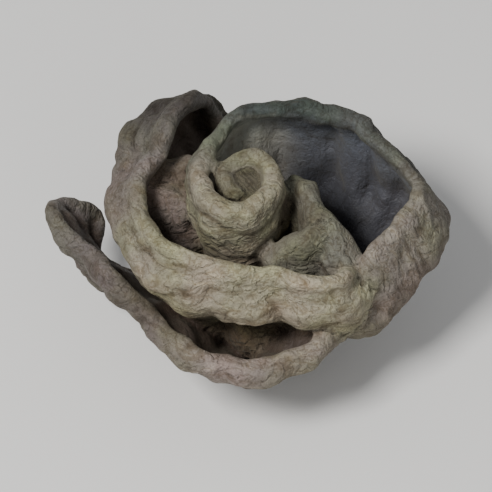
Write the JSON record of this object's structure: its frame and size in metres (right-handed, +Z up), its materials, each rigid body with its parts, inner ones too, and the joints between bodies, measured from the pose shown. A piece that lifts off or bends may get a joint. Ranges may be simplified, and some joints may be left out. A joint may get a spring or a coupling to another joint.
{
  "type": "wood ear mushroom",
  "caption": "Dried wood ear mushroom: thin flesh curled into a rose of lobes round a scrolled heart, on a short foot cut flat.",
  "frame": {"origin": "centre of the flat cut under the foot", "axes": "+Z up out of the cut towards the open rose, +X along the ear's longest way to the right-hand lobe, -Y the front"},
  "size_m": [0.0237, 0.0191, 0.0142],
  "materials": {
    "flesh": "matte, downy, dried"
  },
  "bodies": {
    "root": {"wood_ear": "flesh"}
  },
  "joints": []
}
